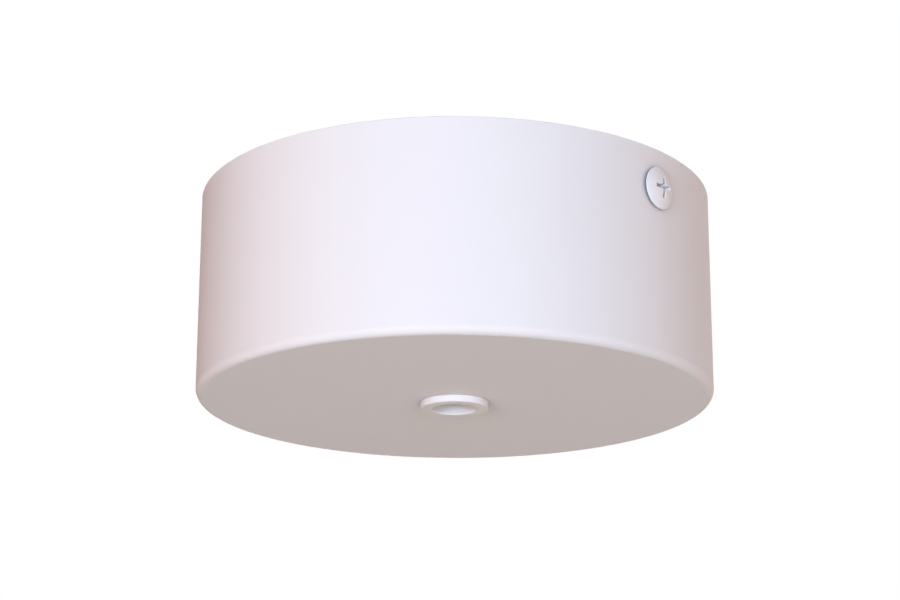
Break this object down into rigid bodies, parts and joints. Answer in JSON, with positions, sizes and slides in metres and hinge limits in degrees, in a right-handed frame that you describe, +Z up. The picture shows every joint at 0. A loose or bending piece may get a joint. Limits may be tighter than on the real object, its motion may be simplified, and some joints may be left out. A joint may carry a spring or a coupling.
{
  "type": "electrical ceiling rose",
  "caption": "Cylindrical steel ceiling rose for a pendant lamp, on a folded strap with side screws, flex bush, terminal block, cord grip and earth terminal.",
  "frame": {"origin": "centre of the ceiling plane, midway between the strap's two slots, where the strap and the cover's rim meet the ceiling", "axes": "+Z up into the ceiling, +X along the strap towards one side screw and the earth terminal's end, all of the rose below z = 0"},
  "size_m": [0.1032, 0.1, 0.0413],
  "materials": {
    "cover_coat": "satin white powder coat on drawn steel",
    "screw_coat": "satin white paint on steel",
    "white_nylon": "moulded white nylon, satin",
    "zinc_sheet": "zinc plated sheet, folded and pierced",
    "zinc_screw": "zinc plated steel, headed and rolled",
    "natural_polyamide": "moulded natural polyamide",
    "grip_polyamide": "moulded light grey polyamide",
    "turned_brass": "turned brass tube",
    "earth_brass": "turned and pressed brass"
  },
  "bodies": {
    "root": {"cover": "cover_coat", "cable_bush": "white_nylon", "ceiling_strap": "zinc_sheet", "side_screws": "screw_coat", "terminal_housing": "natural_polyamide", "terminal_tube_live": "turned_brass", "terminal_tube_earth": "turned_brass", "terminal_tube_neutral": "turned_brass", "terminal_screws": "zinc_screw", "housing_screws": "zinc_screw", "cord_grip_base": "grip_polyamide", "cord_grip_bar": "grip_polyamide", "cord_grip_screws": "zinc_screw", "earth_saddle": "earth_brass", "earth_lock_washer": "zinc_screw", "earth_screw": "earth_brass"}
  },
  "joints": []
}
